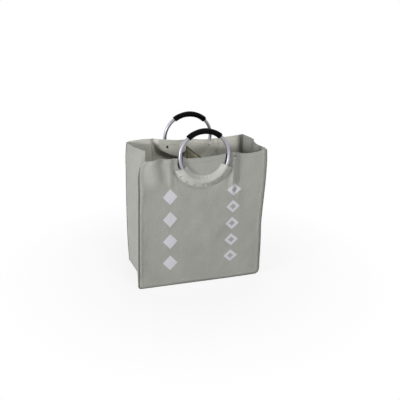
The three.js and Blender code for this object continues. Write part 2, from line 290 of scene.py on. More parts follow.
BACK["bulges"] = [
    ([(-222.5, 0.0), (-205, -2.0), (-185, -4.0), (-160, -7.0), (-143, -9.5), (-138, -10.5), (-133, -8.0),
      (-128, 4.0), (-121, 8.0), (-112, 5.0), (-98, 0.0)], 360.0, 440.0, 0.0, 0.3),
    ([(96, 0.0), (120, -1.0), (135, -4.0), (160, -7.0), (188, -8.5), (202, -6.5), (213, -1.0),
      (222.5, 0.0)], 340.0, 430.0, 0.0),
    ([(-34, 0.0), (-12, 7.0), (6, 13.0), (40, 13.0), (56, 5.0), (70, 0.0), (118, 0.0), (140, 4.0),
      (175, 4.0), (222.5, 0.0)], 432.0, 486.0, 0.0),
]
# A lip that hangs inwards: (place across, height of the lip) knots, how far it hangs, and how far
# the cloth below falls back.
BACK["lip"] = [(-118, 452), (-110, 447), (-97, 438), (-80, 429), (-62, 421), (-44, 414), (-30, 414),
               (-16, 428), (0, 436)]
BACK["lip_depth"] = (19.0, 9.0)

# Folds that stand in the cloth: (from x, z, to x, z, half width, height outwards), millimetres.
FRONT["folds"] = [
    (-124, 470, -116, 372, 6.0, 1.8), (-206, 400, -208, 330, 7.0, 1.2), (-106, 440, -100, 372, 6.0, -1.6),
    (104, 472, 96, 330, 5.0, 1.6),
    (96, 480, 122, 476, 2.4, -6.4), (99, 471, 121, 465, 2.4, -6.0), (104, 463, 128, 456, 3.0, 3.0),
    (100, 476, 118, 470, 2.2, 3.6), (100, 462, 106, 330, 4.5, 2.6), (118, 470, 120, 330, 4.0, -3.0),
    (60, 230, 10, 120, 30.0, 2.0), (-60, 300, -20, 180, 32.0, -1.6), (-190, 260, -195, 60, 22.0, -1.6),
    (150, 240, 205, 60, 30.0, 1.8), (10, 330, 40, 210, 22.0, -1.6), (-150, 330, -120, 200, 24.0, 1.4),
]
BACK["folds"] = [
    (-92, 472, -78, 436, 5.0, -6.0), (-74, 470, -46, 424, 6.0, -7.0), (-80, 458, -64, 436, 4.0, 5.0),
    (-60, 452, -34, 436, 4.5, 6.0), (-112, 470, -106, 446, 6.0, -6.0),
    (34, 474, 60, 430, 16.0, -3.0), (116, 478, 126, 400, 6.0, -4.5), (150, 470, 156, 390, 8.0, 3.0),
    (60, 260, -30, 120, 34.0, 2.0), (-120, 240, -150, 90, 30.0, 1.8), (130, 200, 170, 80, 28.0, 1.6),
]


def bulge(side, x, z):
    """How far a side's broad bulges stand out: smooth curves across, growing with height. On the
    back a lip hangs inwards round the left opening, and the cloth falls back sharply below it."""
    out = 0.0 * x * z
    for knots, start, full, slant, *rim_share in side["bulges"]:
        left = 1.0 - (1.0 - rim_share[0]) * soft_step(*RIM_FADE, z) if rim_share else 1.0
        out = out + through(knots, x + slant * (z - SLANT_HEIGHT)) * soft_step(start, full, z) * left
    if "lip" in side:
        far, back = side["lip_depth"]
        above = z - through(side["lip"], x)
        across = soft_step(*LIP_ENDS[0], x) * soft_step(*LIP_ENDS[1], x)
        hang = soft_step(-6.0, 5.0, above) * (1.0 - 0.85 * soft_step(8.0, 48.0, above))
        below = soft_step(-60.0, -8.0, above) * soft_step(5.0, -6.0, above)
        out = out - far * across * hang + back * across * below
    return out


def hem_step(z):
    """0 on the single cloth, 1 on the folded hem."""
    return soft_step(HEM_LINE - 0.9, HEM_LINE + 0.9, z)


def swell(side, x, z):
    """Inside its ring a panel lies parallel to the leaning ring, so it stands out lower down. Along
    the patch's outer seam it is drawn in to a groove."""
    ring_x, ring_z = side["ring"]
    from_ring, drop = np.hypot(x - ring_x, z - ring_z), np.clip(ring_z - z, 0.0, None)
    groove = np.exp(-(((from_ring - PATCH_GROOVE) / 4.0) ** 2)) * soft_step(30.0, 50.0, drop)
    return RING_SLOPE * drop * soft_step(100.0, 84.0, from_ring) - 2.0 * groove


def relief(side, x, z):
    """How far the outer face stands out of its plane. Each fold is a bell curve across its line,
    faded in and out along it; slow ripples lie between; the hem is a step; next to the piping
    the cloth is drawn in. Round the ring, where the handle patch is sewn on, it is flat."""
    out = 1.3 * ripples(x, z, 3, 190.0) * soft_step(0.0, 120.0, 225.0 - np.abs(x))
    out = out + 0.35 * ripples(x, z, 5, 60.0) + 0.10 * ripples(x, z, 8, 17.0)
    for x0, z0, x1, z1, width, height in side["folds"]:
        run = np.array((x1 - x0, z1 - z0), float)
        length = np.hypot(*run)
        run = run / length
        along = ((x - x0) * run[0] + (z - z0) * run[1]) / length
        across = (x - x0) * run[1] - (z - z0) * run[0]
        faded = soft_step(-0.22, 0.25, along) * soft_step(1.25, 0.6, along)
        out = out + height * np.exp(-((across / width) ** 2)) * faded
    ring_x, ring_z = side["ring"]
    from_ring = np.hypot(x - ring_x, z - ring_z)
    calm = soft_step(108.0, 128.0, from_ring)
    flat_above = soft_step(96.0, 112.0, from_ring)
    out = out * np.where(z > ring_z - 60.0, flat_above, calm)
    edge = np.minimum(SEAM_X - np.abs(x), z - PIPING_RADIUS)
    out = out * soft_step(0.0, 14.0, edge) - 1.5 * soft_step(9.0, 0.0, edge)
    out = out + 0.7 * np.exp(-(((edge - 10.0) / 3.5) ** 2)) * (1.0 + 0.4 * ripples(x, z, 12, 26.0))
    pucker = np.exp(-(((z - BAG_HEIGHT + HEM_WIDTH - 2.4) / 1.6) ** 2))
    pucker = pucker * (0.55 + 0.25 * ripples(x, z, 21, 13.0))
    return out + HEM_RAISE * hem_step(z) - pucker + bulge(side, x, z) + swell(side, x, z)


def outer_face(side, x, z, above=0.0):
    """Points of a panel's outer face, or of a surface that lies above it by the height given."""
    fitted_x, fitted_z = fitted(side, x, z)
    y = side["facing"] * (PANEL_FACE + relief(side, x, z) + above)
    if "rolled" in side:
        start, full, reach = side["rolled"]
        near_edge = soft_step(-SEAM_X + 16.0, -SEAM_X + CLOTH_START, x)
        fitted_x = fitted_x - reach * near_edge * soft_step(start, full, z)
    return np.stack([fitted_x, y, fitted_z], -1)


def opening(side, x, z):
    """Distance to the nearest cut edge, above 0 in the cloth: the rounded lower corners and the
    two openings, bands round the ring's middle that end in a half circle."""
    edge_x = SEAM_X - CLOTH_START
    radius = np.where(x < 0, side["corners"][0], side["corners"][1]) - CLOTH_START
    past_x = np.abs(x) - (edge_x - radius)
    past_z = CLOTH_LOW + radius - z
    clear = np.where((past_x > 0) & (past_z > 0), radius - np.hypot(past_x, past_z), 99.0)
    ring_x, ring_z = side["ring"]
    across, up = np.abs(x - ring_x), z - ring_z
    off_ring = np.abs(np.hypot(across, up) - RING_RADIUS)
    off_end = np.hypot(across - RING_RADIUS * math.cos(SLOT_END), up + RING_RADIUS * math.sin(SLOT_END))
    left_half, right_half, hole = side["slot"]
    half = np.where(x < ring_x, left_half, right_half)
    band = np.where(np.arctan2(up, across) > -SLOT_END, off_ring, off_end) - half
    return np.minimum(np.minimum(clear, band), off_end - hole)


FRONT["rolled"] = (415.0, 446.0, 5.0)  # there the left edge laps over the piping, by so much
# Half width of the left and of the right opening, radius of their round ends. The left slit in the
# back panel lies closed, so that only its round end is open.
FRONT["slot"] = (9.0, 9.0, 9.0)
BACK["slot"] = (-9.0, 1.6, 1.7)


def cut_to(clear, x, z):
    """Fits a grid to cut edges: cells whose middle is past an edge are dropped, and the grid
    points left over beyond it, or just before it, are moved onto it along the distance's slope."""
    middle_x = (x[:-1, :-1] + x[1:, :-1] + x[:-1, 1:] + x[1:, 1:]) / 4
    middle_z = (z[:-1, :-1] + z[1:, :-1] + z[:-1, 1:] + z[1:, 1:]) / 4
    keep = clear(middle_x, middle_z) > 0.0
    x, z, step = x.copy(), z.copy(), 0.05
    moved = clear(x, z) < 0.7
    for _ in range(3):
        distance = clear(x, z)
        slope_x = (clear(x + step, z) - clear(x - step, z)) / (2 * step)
        slope_z = (clear(x, z + step) - clear(x, z - step)) / (2 * step)
        size = np.maximum(slope_x**2 + slope_z**2, 0.25)
        shift = np.where(moved & (np.abs(distance) < 4.0), distance / size, 0.0)
        x -= shift * slope_x
        z -= shift * slope_z
    return x, z, keep


def unit(arrows):
    """The same directions, 1 long."""
    return arrows / np.maximum(np.linalg.norm(arrows, axis=-1, keepdims=True), 1e-9)


def set_off(grid, distance):
    """A grid of points moved along its own normals, the cross product of its two directions."""
    return grid + unit(np.cross(np.gradient(grid, axis=1), np.gradient(grid, axis=0))) * distance


def run_along(line):
    """Distance from a line's start to each of its points, along the line."""
    return np.concatenate([[0.0], np.cumsum(np.linalg.norm(np.diff(line, axis=0), axis=1))])


def round_faces(index):
    """Faces between the rows of a grid of point numbers that closes on itself across."""
    turned = np.roll(index, -1, 1)
    return np.stack([index[:-1], turned[:-1], turned[1:], index[1:]], -1).reshape(-1, 4)


def add_piece(name, points, faces, finish, flat_map=None, crisp=48.0):
    """A mesh object from points in millimetres. flat_map gives each point its place on the cloth
    as it was cut, in metres, for the weave. Edges sharper than crisp degrees stay crisp."""
    faces = faces if isinstance(faces, list) else faces.tolist()
    mesh = bpy.data.meshes.new(name)
    mesh.from_pydata((np.asarray(points).reshape(-1, 3) * 0.001).tolist(), [], faces)
    if flat_map is not None:
        corner = np.empty(len(mesh.loops), np.int32)
        mesh.loops.foreach_get("vertex_index", corner)
        layer = mesh.uv_layers.new(name="cloth")
        layer.data.foreach_set("uv", (np.asarray(flat_map).reshape(-1, 2)[corner] * 0.001).ravel())
    mesh.polygons.foreach_set("use_smooth", np.ones(len(mesh.polygons), bool))
    mesh.set_sharp_from_angle(angle=math.radians(crisp))
    mesh.materials.append(finish)
    mesh.update()
    piece = bpy.data.objects.new(name, mesh)
    bpy.context.collection.objects.link(piece)
    return piece


def cloth_faces(keep, turned):
    """Faces of a thin closed sheet over a grid of cells: the outer face, the inner face turned
    round, and a wall along every edge whose neighbour cell is missing."""
    rows, columns = keep.shape
    index = np.arange((rows + 1) * (columns + 1)).reshape(rows + 1, columns + 1)
    corner = np.stack([index[:-1, :-1], index[:-1, 1:], index[1:, 1:], index[1:, :-1]], -1)
    padded = np.pad(keep, 1)
    beyond = [padded[:-2, 1:-1], padded[1:-1, 2:], padded[2:, 1:-1], padded[1:-1, :-2]]
    outer = corner[keep]
    below = index.size
    faces = [outer, outer[:, ::-1] + below]
    for edge, neighbour in enumerate(beyond):
        cells = corner[keep & ~neighbour]
        a, b = cells[:, edge], cells[:, (edge + 1) % 4]
        faces.append(np.stack([b, a, a + below, b + below], -1))
    faces = np.concatenate(faces)
    return faces[:, ::-1] if turned else faces


def cloth_piece(name, outer, inner, flat_map, finish, keep=None, turned=False, lining=None):
    """A thin closed sheet between two grids of points, without the points no face needs. Its inner
    face may have a finish of its own."""
    keep = np.ones((outer.shape[0] - 1, outer.shape[1] - 1), bool) if keep is None else keep
    points = np.concatenate([outer.reshape(-1, 3), inner.reshape(-1, 3)])
    flat_map = np.concatenate([flat_map.reshape(-1, 2)] * 2)
    used, faces = np.unique(cloth_faces(keep, turned), return_inverse=True)
    piece = add_piece(name, points[used], faces.reshape(-1, 4), finish, flat_map[used])
    if lining is not None:
        cells = int(keep.sum())
        which = np.zeros(len(piece.data.polygons), np.int32)
        which[cells:2 * cells] = 1
        piece.data.materials.append(lining)
        piece.data.polygons.foreach_set("material_index", which)
    return piece


def spaced(start, end, step, fine=()):
    """Places from start to end about a step apart, closer by the share given near each of the
    fine places (place, reach, share)."""
    dense = np.linspace(start, end, 4001)
    need = np.full(dense.shape, 1.0 / step)
    for place, reach, share in fine:
        need = np.maximum(need, soft_step(reach * 1.6, reach, np.abs(dense - place)) / (step * share))
    total = np.concatenate([[0.0], np.cumsum((need[1:] + need[:-1]) / 2 * np.diff(dense))])
    return np.interp(np.linspace(0.0, total[-1], int(round(total[-1])) + 1), total, dense)


CLOTH_WEAVE = 0.0011  # metres between threads
WAVE_SCALE = 0.314  # a wave texture's scale times the distance between its crests


def woven(name, colour, roughness=0.62, sheen=0.18, weave=CLOTH_WEAVE, depth=0.22, mottle=0.035,
          worn=0.05, painted_shade=False):
    """Coated plain weave: two crossed rows of threads from the piece's own flat map as a fine bump,
    cloudy unevenness of colour and gloss at two sizes, and small slubs along the threads. When
    the flag is set, the piece's own attribute of that name multiplies its colour: painted shade."""
    material = bpy.data.materials.new(name)
    node = shader_tree(material)
    flat = node("ShaderNodeUVMap", uv_map="cloth").outputs[0]
    place = node("ShaderNodeTexCoord").outputs["Object"]
    warp, weft = (
        node("ShaderNodeTexWave", {"Vector": flat, "Scale": WAVE_SCALE / weave, "Distortion": 0.6,
                                   "Detail": 1.0, "Detail Scale": 0.6, "Phase Offset": phase},
             wave_type="BANDS", bands_direction=direction, wave_profile="SIN")
        for direction, phase in (("X", 0.0), ("Y", 1.6)))
    threads = node("ShaderNodeMath", {0: warp.outputs["Fac"], 1: weft.outputs["Fac"]}, operation="MAXIMUM")
    clouds = node("ShaderNodeTexNoise", {"Vector": place, "Scale": 9.0, "Detail": 5.0, "Roughness": 0.62})
    specks = node("ShaderNodeTexNoise", {"Vector": place, "Scale": 190.0, "Detail": 3.0, "Roughness": 0.6})
    tone = node("ShaderNodeMix", {0: 0.35, 2: clouds.outputs["Fac"], 3: specks.outputs["Fac"]})
    deep = tuple(c * (1.0 - mottle * 2.2) for c in colour) + (1.0,)
    pale = tuple(min(1.0, c * (1.0 + mottle * 2.2)) for c in colour) + (1.0,)
    ramp = node("ShaderNodeMapRange", {"Value": tone.outputs[0], "From Min": 0.36, "From Max": 0.64})
    shade = node("ShaderNodeMix", {0: ramp.outputs[0], 6: deep, 7: pale}, data_type="RGBA")
    thread_shade = node("ShaderNodeMapRange", {"Value": threads.outputs[0], "To Min": 1.0 - worn * 1.6,
                                               "To Max": 1.0})
    dyed = node("ShaderNodeMix", {0: 1.0, 6: shade.outputs[2], 7: thread_shade.outputs[0]},
                data_type="RGBA", blend_type="MULTIPLY")
    if painted_shade:
        left = node("ShaderNodeAttribute", attribute_name="painted_shade")
        dyed = node("ShaderNodeMix", {0: 1.0, 6: dyed.outputs[2], 7: left.outputs["Fac"]},
                    data_type="RGBA", blend_type="MULTIPLY")
    gloss = node("ShaderNodeMapRange", {"Value": tone.outputs[0], "From Min": 0.3, "From Max": 0.7,
                                        "To Min": roughness - 0.07, "To Max": roughness + 0.07})
    height = node("ShaderNodeMath", {0: threads.outputs[0], 1: specks.outputs["Fac"]}, operation="ADD")
    bump = node("ShaderNodeBump", {"Height": height.outputs[0], "Strength": depth, "Distance": 0.0003})
    surface = node("ShaderNodeBsdfPrincipled", {
        "Base Color": dyed.outputs[2], "Roughness": gloss.outputs[0], "Normal": bump.outputs[0],
        "Sheen Weight": sheen, "Sheen Roughness": 0.45, "Specular IOR Level": 0.4,
    })
    node("ShaderNodeOutputMaterial", {"Surface": surface.outputs[0]})
    return material


def speckled(name, scale, detail, dark, pale, depth, sockets):
    """Plain finish: fine noise varies its colour from dark to pale and stands out as a bump. detail
    holds the noise's other sockets, and sockets those of the surface."""
    material = bpy.data.materials.new(name)
    node = shader_tree(material)
    place = node("ShaderNodeTexCoord").outputs["Object"]
    speck = node("ShaderNodeTexNoise", {"Vector": place, "Scale": scale, **detail})
    shade = node("ShaderNodeMix", {0: speck.outputs["Fac"], 6: dark + (1.0,), 7: pale + (1.0,)},
                 data_type="RGBA")
    bump = node("ShaderNodeBump", {"Height": speck.outputs["Fac"], "Strength": depth, "Distance": 0.0002})
    surface = node("ShaderNodeBsdfPrincipled", {
        "Base Color": shade.outputs[2], "Normal": bump.outputs[0], **sockets,
    })
    node("ShaderNodeOutputMaterial", {"Surface": surface.outputs[0]})
    return material


def linear(red, green, blue):
    """Colour values of a screen, 0 to 255, as amounts of light."""
    return tuple(((v / 255 + 0.055) / 1.055) ** 2.4 for v in (red, green, blue))


grey_cloth = woven("grey_cloth", linear(172, 173, 166))
# The panels' inner coat carries painted shade, from the attribute made for each panel below.
lining_face = woven("lining_face", linear(224, 224, 215), roughness=0.75, painted_shade=True)  # inner coat
for side in (FRONT, BACK):
    columns = spaced(-SEAM_X + CLOTH_START, SEAM_X - CLOTH_START, 2.5,
                     [(-SEAM_X, 14.0, 0.6), (SEAM_X, 14.0, 0.6)])
    heights = spaced(CLOTH_LOW, BAG_HEIGHT, 2.6,
                     [(HEM_LINE, 5.0, 0.32), (BAG_HEIGHT - 42.0, 30.0, 0.8), (5.0, 14.0, 0.6)])
    x, z = np.meshgrid(columns, heights)
    x, z, keep = cut_to(lambda a, b: opening(side, a, b), x, z)
    outer = outer_face(side, x, z)
    thickness = PANEL_THICKNESS + HEM_THICKER * (z > HEM_LINE)
    inner = outer - np.stack([0 * x, side["facing"] * thickness, 0 * x], -1)
    flat = np.stack([x, z], -1)
    panel = cloth_piece(side["name"] + "_cloth", outer, inner, flat, grey_cloth, keep,
                        turned=side["facing"] > 0, lining=lining_face)
    place = np.empty(len(panel.data.vertices) * 3)
    panel.data.vertices.foreach_get("co", place)
    x, z = place[0::3] * 1000.0, place[2::3] * 1000.0
    # Painted shade on the inner coat: its colour is darkened lower down inside the bag, and most in the
    # right back corner, where shade falls.
    shade_paint_factor = 1.0 - 0.35 * soft_step(458.0, 418.0, z) * soft_step(-137.0, -127.0, x)
    shade_paint_factor *= 1.0 - 0.8 * soft_step(186.0, 218.0, x) * soft_step(500.0, 455.0, z - 0.35 * (x - 196.0))
    panel.data.attributes.new("painted_shade", "FLOAT", "POINT").data.foreach_set("value", shade_paint_factor)
    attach(panel, "bag_" + side["name"])
    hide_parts(side["name"] + "_panel")


# Handle patches: a half-moon strip of the same cloth, sewn to the panel along both edges and
# stretched over the lower half of the ring as a tunnel. The stretch gathers it into small radial
# folds and pulls dimples into the outer seam. Its colour is lighter than the panels': painted
# light, for the light on the raised tunnel.
TUBE_RADIUS = 6.0
RING_LEAN = math.radians(5.0)
RING_OFF = 6.3  # middle of the ring to the panel's face, at the ring's middle height
MOUTH = math.radians(25.0)  # below the ring's middle
PATCH_SEAM = (17.0, 24.0)  # inner and outer seam to the middle of the tube
PATCH_THICKNESS = 1.2
PATCH_SLACK = 0.8  # between the tube and the cloth over it


def tunnel_height(drop, along, radius, low):
    """Cross-section of the stretched cloth: flat past the seams, straight up to the tube, round it
    and straight down. along runs -1 to 1 over the cloth's length, seam to seam; returns the place
    across the tunnel and the height above the panel."""
    middle = RING_OFF + drop * math.sin(RING_LEAN)
    half = np.where(along > 0, PATCH_SEAM[1], PATCH_SEAM[0])
    span = np.hypot(half, middle - low)
    straight = np.sqrt(span**2 - radius**2)
    reach = np.arctan2(middle - low, half)
    half_turn = math.pi / 2 - (np.arccos(radius / span) - reach)
    total = straight + radius * half_turn
    run = np.abs(along) * total
    on_tube = run < radius * half_turn
    turn = run / radius
    past = run - radius * half_turn
    across = np.where(on_tube, radius * np.sin(turn),
                      radius * np.sin(half_turn) + past * np.cos(half_turn))
    height = np.where(on_tube, middle + radius * np.cos(turn),
                      middle + radius * np.cos(half_turn) - past * np.sin(half_turn))
    return np.sign(along) * across, height


def on_side(side, x, height, z):
    """Points in front of a side's plane, by the height above the panel."""
    return np.stack([x, side["facing"] * (PANEL_FACE + height), z], -1)


# Painted light: the patch's cloth is coloured lighter than the panels' for the light on the tunnel.
lit_patch_cloth = woven("lit_patch_cloth", linear(195, 196, 189), roughness=0.48)
SEAM_ALLOWANCE = 3.2  # cloth past each of the patch's seams
DIMPLES = np.radians([-157.0, -140.0, -123.0, -106.0, -88.0, -70.0, -52.0, -37.0])
for side in (FRONT, BACK):
    ring_x, ring_z = side["ring"]
    turn = np.linspace(-math.pi + MOUTH, -MOUTH, 300)[:, None]
    along = np.concatenate([[-1.12], np.linspace(-1.0, 1.0, 61), [1.12]])[None, :]
    drop = -np.sin(turn) * RING_RADIUS
    faces = []
    for lift, radius in ((PATCH_THICKNESS, TUBE_RADIUS + PATCH_SLACK + PATCH_THICKNESS),
                         (0.0, TUBE_RADIUS + PATCH_SLACK)):
        inner_drop = np.clip(drop * (1.0 - PATCH_SEAM[0] / RING_RADIUS), 0.0, None)
        low = 0.5 + lift + RING_SLOPE * inner_drop * (along < 0)
        across, height = tunnel_height(drop, np.clip(along, -1, 1), radius, low)
        sewn = np.abs(along) > 1.0
        across = across + np.sign(along) * SEAM_ALLOWANCE * sewn
        height = np.where(sewn, low, height)
        slope = soft_step(0.35, 0.62, np.abs(along)) * soft_step(1.02, 0.9, np.abs(along))
        around = turn * RING_RADIUS
        wave = np.sin(around / 1.45 + 1.3 * np.sin(around / 11.0))
        wave = wave * (0.6 + 0.4 * np.sin(around / 17.0 + 1.0))
        wave = wave + 0.7 * np.sin(around / 3.1 + 2.0 * np.sin(around / 19.0))
        height = height + slope * wave * np.where(along > 0, 0.8, 0.5)
        height = height - 1.1 * np.exp(-(((np.abs(along) - 0.78) / 0.16) ** 2))
        near = np.min(np.abs(turn[..., None] - DIMPLES), axis=-1) * RING_RADIUS
        height = height - 4.0 * np.exp(-((near / 4.4) ** 2)) * np.exp(-(((along - 0.72) / 0.17) ** 2))
        lip = soft_step(5.0, 0.0, np.minimum(around + (math.pi - MOUTH) * RING_RADIUS,
                                             -MOUTH * RING_RADIUS - around))
        height = height + 0.5 * lip * (np.abs(along) < 0.7) * (lift > 0)
        height = np.maximum(height, low - 0.1)
        reach = RING_RADIUS + across
        x, z = ring_x + reach * np.cos(turn), ring_z + reach * np.sin(turn)
        outer_seam = swell(side, x, z) * (along > 0.9)
        height = height + bulge(side, x, z) * soft_step(0.45, 1.0, np.abs(along)) + outer_seam
        faces.append(on_side(side, x, height, z))
    flat = np.stack([np.broadcast_to(turn * RING_RADIUS, height.shape), along * 26.0 + 0 * turn], -1)
    patch = cloth_piece(side["name"] + "_patch", faces[0], faces[1], flat, lit_patch_cloth,
                        turned=side["facing"] < 0)
    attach(patch, "bag_" + side["name"])
    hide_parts(side["name"] + "_handle_patch")


# Facings: dark tape sewn behind the two openings in the front panel, where the tube would fray it.
# Its near black is painted shade: seen through the openings, it stands for the dark inside of the bag.
shade_facing_tape = woven("shade_facing_tape", linear(30, 30, 28), roughness=0.85, weave=0.0008)
ring_x, ring_z = FRONT["ring"]
for way, name in ((-1.0, "left_facing"), (1.0, "right_facing")):
    turn = np.linspace(-math.radians(25.0), -math.radians(0.6), 26)[:, None]
    reach = np.linspace(RING_RADIUS - 13.0, RING_RADIUS + 13.0, 17)[None, :]
    x, z = ring_x + way * reach * np.cos(turn), ring_z + reach * np.sin(turn)
    behind = PANEL_THICKNESS + HEM_THICKER * (z > HEM_LINE - 3.0) + 0.2
    near = outer_face(FRONT, x, z, -behind)
    far = near + np.array((0.0, 0.8, 0.0))
    flat = np.stack([x, z], -1)
    facing = cloth_piece(name, near, far, flat, shade_facing_tape, turned=way < 0)
    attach(facing, "bag_front")


# Rings: round handles bent from aluminium tube, drawn satin and clear anodised. The two ends
# meet under the grip, on a spigot.
TUBE_BORE = 4.8


def ring_place(side, turn, reach, height):
    """Points round a ring: turn from the right, upwards; reach from its middle; height off its own
    plane, outwards. The ring leans so that its top is over the bag."""
    ring_x, ring_z = side["ring"]
    along = reach * np.sin(turn)
    out = height * math.cos(RING_LEAN) - along * math.sin(RING_LEAN)
    up = height * math.sin(RING_LEAN) + along * math.cos(RING_LEAN)
    return on_side(side, ring_x + reach * np.cos(turn), RING_OFF + out, ring_z + up)


def sleeve(side, turn, radius, sides):
    """A closed profile of (turn round the ring, distance from the tube's middle), swept round the
    tube's middle: closed both ways, so it has an outside, a bore and two ends."""
    round_it = np.linspace(0.0, 2 * math.pi, sides, endpoint=False)[None, :]
    turn, radius = np.asarray(turn)[:, None], np.asarray(radius)[:, None]
    return ring_place(side, turn, RING_RADIUS + radius * np.cos(round_it), radius * np.sin(round_it))


def closed_faces(rows, columns, turned):
    """Faces of a grid that closes on itself in both directions."""
    index = np.arange(rows * columns).reshape(rows, columns)
    faces = round_faces(np.concatenate([index, index[:1]]))
    return faces[:, ::-1] if turned else faces


def brushed_metal(name, colour, roughness):
    """Drawn tube: fine lines along it and faint scuffs, from the piece's own place."""
    material = bpy.data.materials.new(name)
    node = shader_tree(material)
    place = node("ShaderNodeTexCoord").outputs["Object"]
    lines = node("ShaderNodeTexNoise", {"Vector": place, "Scale": 420.0, "Detail": 4.0, "Roughness": 0.7})
    scuffs = node("ShaderNodeTexNoise", {"Vector": place, "Scale": 46.0, "Detail": 6.0, "Roughness": 0.7})
    tone = node("ShaderNodeMapRange", {"Value": scuffs.outputs["Fac"], "From Min": 0.35, "From Max": 0.7})
    shade = node("ShaderNodeMix", {0: tone.outputs[0], 6: tuple(c * 0.93 for c in colour) + (1.0,),
                                   7: colour + (1.0,)}, data_type="RGBA")
    gloss = node("ShaderNodeMapRange", {"Value": scuffs.outputs["Fac"], "From Min": 0.3, "From Max": 0.7,
                                        "To Min": roughness - 0.05, "To Max": roughness + 0.08})
    bump = node("ShaderNodeBump", {"Height": lines.outputs["Fac"], "Strength": 0.08, "Distance": 0.0002})
    surface = node("ShaderNodeBsdfPrincipled", {
        "Base Color": shade.outputs[2], "Roughness": gloss.outputs[0], "Normal": bump.outputs[0],
        "Metallic": 1.0,
    })
    node("ShaderNodeOutputMaterial", {"Surface": surface.outputs[0]})
    return material


aluminium = brushed_metal("satin_aluminium", linear(166, 164, 173), 0.42)
END_GAP = 0.3 / RING_RADIUS  # from the top of the ring to each of the tube's ends
RING_STEPS, TUBE_SIDES, GRIP_SIDES = 181, 32, 40
for side in (FRONT, BACK):
    run = np.linspace(math.pi / 2 + END_GAP, math.pi / 2 + 2 * math.pi - END_GAP, RING_STEPS)
    turn = np.concatenate([run, run[::-1]])
    radius = np.repeat([TUBE_RADIUS, TUBE_BORE], RING_STEPS)
    points = sleeve(side, turn, radius, TUBE_SIDES)
    ring = add_piece(side["name"] + "_tube", points,
                     closed_faces(2 * RING_STEPS, TUBE_SIDES, side["facing"] > 0), aluminium)
    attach(ring, side["name"] + "_handle")
    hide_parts(side["name"] + "_ring")
    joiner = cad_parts[side["name"] + "_ring_joiner"]
    for place in joiner.material_slots:
        place.material = aluminium


# Grips: black closed-cell foam sleeves, pushed over the top of each ring; cut square, with the
# edges a little rounded, and drawn in slightly where a hand has pressed them.
GRIP_RADIUS = 9.75
GRIP_BORE = 6.15
GRIP_HALF = math.radians(41.0)
FRONT["grip_turn"] = 0.0
BACK["grip_turn"] = math.radians(-3.5)  # a little way round its ring

foam = bpy.data.materials.new("black_foam")
node = shader_tree(foam)
place = node("ShaderNodeTexCoord").outputs["Object"]
cells = node("ShaderNodeTexVoronoi", {"Vector": place, "Scale": 900.0}, feature="F1")
patches = node("ShaderNodeTexNoise", {"Vector": place, "Scale": 60.0, "Detail": 5.0})
shade = node("ShaderNodeMix", {0: patches.outputs["Fac"], 6: (0.0012, 0.0012, 0.0014, 1.0),
                               7: (0.0030, 0.0030, 0.0034, 1.0)}, data_type="RGBA")
gloss = node("ShaderNodeMapRange", {"Value": patches.outputs["Fac"], "From Min": 0.3, "From Max": 0.7,
                                    "To Min": 0.42, "To Max": 0.56})
bump = node("ShaderNodeBump", {"Height": cells.outputs["Distance"], "Strength": 0.35, "Distance": 0.0004})
surface = node("ShaderNodeBsdfPrincipled", {
    "Base Color": shade.outputs[2], "Roughness": gloss.outputs[0], "Normal": bump.outputs[0],
    "Specular IOR Level": 0.04,
})
node("ShaderNodeOutputMaterial", {"Surface": surface.outputs[0]})

for side in (FRONT, BACK):
    round_off = np.linspace(0.0, math.pi / 2, 6)
    edge = 1.6  # radius of the rounded ends
    end = GRIP_HALF * RING_RADIUS
    flat_run = np.linspace(-end + edge, end - edge, 91)
    outside = np.concatenate([-end + edge - edge * np.cos(round_off)[:-1], flat_run,
                              (end - edge + edge * np.sin(round_off))[1:]])
    out_radius = np.concatenate([GRIP_RADIUS - edge + edge * np.sin(round_off)[:-1],
                                 np.full(flat_run.shape, GRIP_RADIUS),
                                 (GRIP_RADIUS - edge + edge * np.cos(round_off))[1:]])
    pressed = 0.22 * np.cos(outside / 9.5) * soft_step(end, end - 14.0, np.abs(outside))
    inside = np.linspace(end, -end, 61)
    along = np.concatenate([outside, inside])
    radius = np.concatenate([out_radius + pressed, np.full(61, GRIP_BORE)])
    points = sleeve(side, math.pi / 2 + side["grip_turn"] + along / RING_RADIUS, radius, GRIP_SIDES)
    grip = add_piece(side["name"] + "_foam_grip", points,
                     closed_faces(len(along), GRIP_SIDES, side["facing"] > 0), foam)
    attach(grip, side["name"] + "_handle")
    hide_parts(side["name"] + "_grip")


# Piping: a cord in a folded tape, sewn into the seam that joins each big panel to the gussets
# and the bottom. It runs down one side, along the floor and up the other. Its dark grey is
# painted shade: the tape is the panels' grey cloth, darkened for the shadow along the seam.
def seam_line(side, step=3.0):
    """Middle of the piping in the straight pattern, (x, z): down, round a corner, along the floor,
    round the other corner and up."""
    left, right = side["corners"]
    low = PIPING_RADIUS
    bend = np.linspace(0.0, math.pi / 2, 9)[1:-1]
    down = np.linspace(BAG_HEIGHT - 1.0, low + left, int(460 / step))
    floor_run = np.linspace(-SEAM_X + left, SEAM_X - right, int(410 / step))
    rise = np.linspace(low + right, BAG_HEIGHT - 1.0, int(460 / step))
    x = np.concatenate([np.full(down.shape, -SEAM_X), -SEAM_X + left - left * np.cos(bend), floor_run,
                        SEAM_X - right + right * np.sin(bend), np.full(rise.shape, SEAM_X)])
    z = np.concatenate([down, low + left - left * np.sin(bend), np.full(floor_run.shape, low),
                        low + right - right * np.cos(bend), rise])
    return x, z


